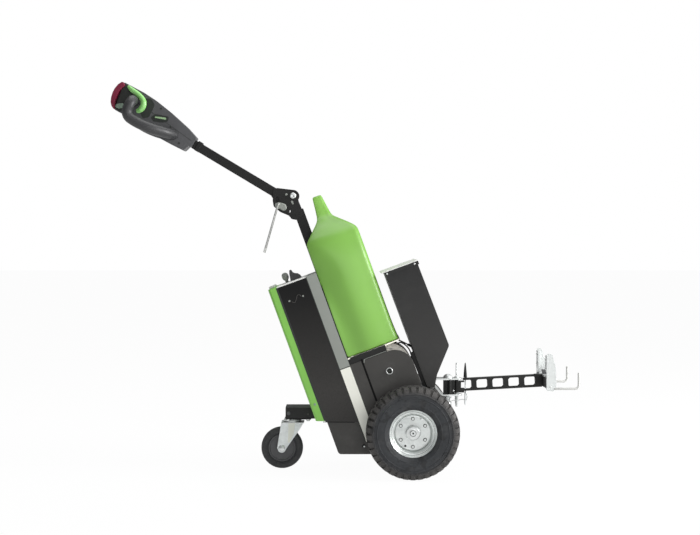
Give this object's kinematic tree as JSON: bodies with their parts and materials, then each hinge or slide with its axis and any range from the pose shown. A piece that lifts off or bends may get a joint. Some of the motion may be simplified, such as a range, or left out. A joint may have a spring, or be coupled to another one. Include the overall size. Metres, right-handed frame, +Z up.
{
  "type": "electric tow tug",
  "caption": "Pedestrian electric tow tug on two driven wheels and a rear swivel caster, with an adjustable tiller and a swinging tow arm that ends in hooks.",
  "frame": {"origin": "middle of the whole length and width, on the floor", "axes": "+X forward towards the tow hooks, +Y to the machine's left, +Z up"},
  "size_m": [1.5448, 0.5192, 1.2901],
  "materials": {
    "green_cover": "moulded green plastic, satin gloss",
    "black_paint": "black powder coat, fine texture",
    "grey_paint": "grey powder coat",
    "pale_paint": "pale grey powder coat",
    "zinc_plate": "bright zinc plate",
    "rim_silver": "silver lacquer",
    "cast_metal": "painted casting",
    "motor_aluminium": "plain aluminium housing",
    "tyre_rubber": "black rubber",
    "dark_plastic": "dark grey moulded plastic",
    "red_plastic": "crimson moulded plastic",
    "lead_rubber": "black cable sheath"
  },
  "bodies": {
    "chassis": {"lower_chassis": "black_paint", "battery_box": "black_paint", "battery_box_top": "pale_paint", "rear_cover": "green_cover", "battery_block": "dark_plastic", "upper_frame": "grey_paint", "lower_frame": "pale_paint", "cheek_plates": "black_paint", "gearbox_side_plates": "black_paint", "cover_rails": "black_paint", "transaxle": "cast_metal", "drive_motor": "motor_aluminium", "front_cover": "green_cover", "front_box": "black_paint", "front_box_lid": "pale_paint", "front_box_mount": "black_paint", "column": "black_paint", "clamp_plates": "black_paint", "pivot_bolt": "zinc_plate", "caster_bracket": "black_paint", "hitch_plates": "zinc_plate", "hitch_bolt": "zinc_plate", "hitch_block": "black_paint", "hitch_pin": "zinc_plate", "latch_knob": "zinc_plate", "latch_lever": "dark_plastic", "lead_upper": "lead_rubber", "lead_lower": "lead_rubber", "lead_glands": "lead_rubber"},
    "tiller": {"tiller_tongue": "black_paint", "tiller_tube": "black_paint", "tiller_collar": "black_paint", "clamp_screw": "zinc_plate", "clamp_lever": "zinc_plate", "tiller_head": "dark_plastic", "grip_left": "dark_plastic", "grip_right": "dark_plastic", "throttle_butterfly": "green_cover", "head_switch": "green_cover", "belly_button": "red_plastic"},
    "wheel_left": {"tyre_left": "tyre_rubber", "rim_left": "rim_silver", "hub_left": "zinc_plate"},
    "wheel_right": {"tyre_right": "tyre_rubber", "rim_right": "rim_silver", "hub_right": "zinc_plate"},
    "caster_swivel": {"caster_fork": "zinc_plate"},
    "caster_wheel": {"caster_hub": "dark_plastic", "caster_tyre": "tyre_rubber"},
    "tow_arm_swing": {"tow_arm": "black_paint", "arm_lock_pin": "black_paint", "cross_bar": "black_paint", "cross_plate": "zinc_plate", "hook_plates": "zinc_plate", "tow_hooks": "zinc_plate"}
  },
  "joints": [
    {"name": "tiller_tilt", "type": "hinge", "parent": "chassis", "child": "tiller", "pos_m": [-0.17074, 0, 0.9136], "axis": [0, 1, 0], "range_deg": [-30, 35]},
    {"name": "wheel_left_spin", "type": "hinge", "parent": "chassis", "child": "wheel_left", "pos_m": [0.21946, 0.214, 0.15], "axis": [0, 1, 0], "continuous": true},
    {"name": "wheel_right_spin", "type": "hinge", "parent": "chassis", "child": "wheel_right", "pos_m": [0.21946, -0.214, 0.15], "axis": [0, 1, 0], "continuous": true},
    {"name": "caster_turn", "type": "hinge", "parent": "chassis", "child": "caster_swivel", "pos_m": [-0.17354, 0, 0.16], "axis": [0, 0, 1], "continuous": true},
    {"name": "caster_wheel_spin", "type": "hinge", "parent": "caster_swivel", "child": "caster_wheel", "pos_m": [-0.20854, 0, 0.07], "axis": [0, 1, 0], "continuous": true},
    {"name": "tow_arm_turn", "type": "hinge", "parent": "chassis", "child": "tow_arm_swing", "pos_m": [0.37746, 0, 0.274], "axis": [0, 0, 1], "range_deg": [-45, 45]}
  ]
}
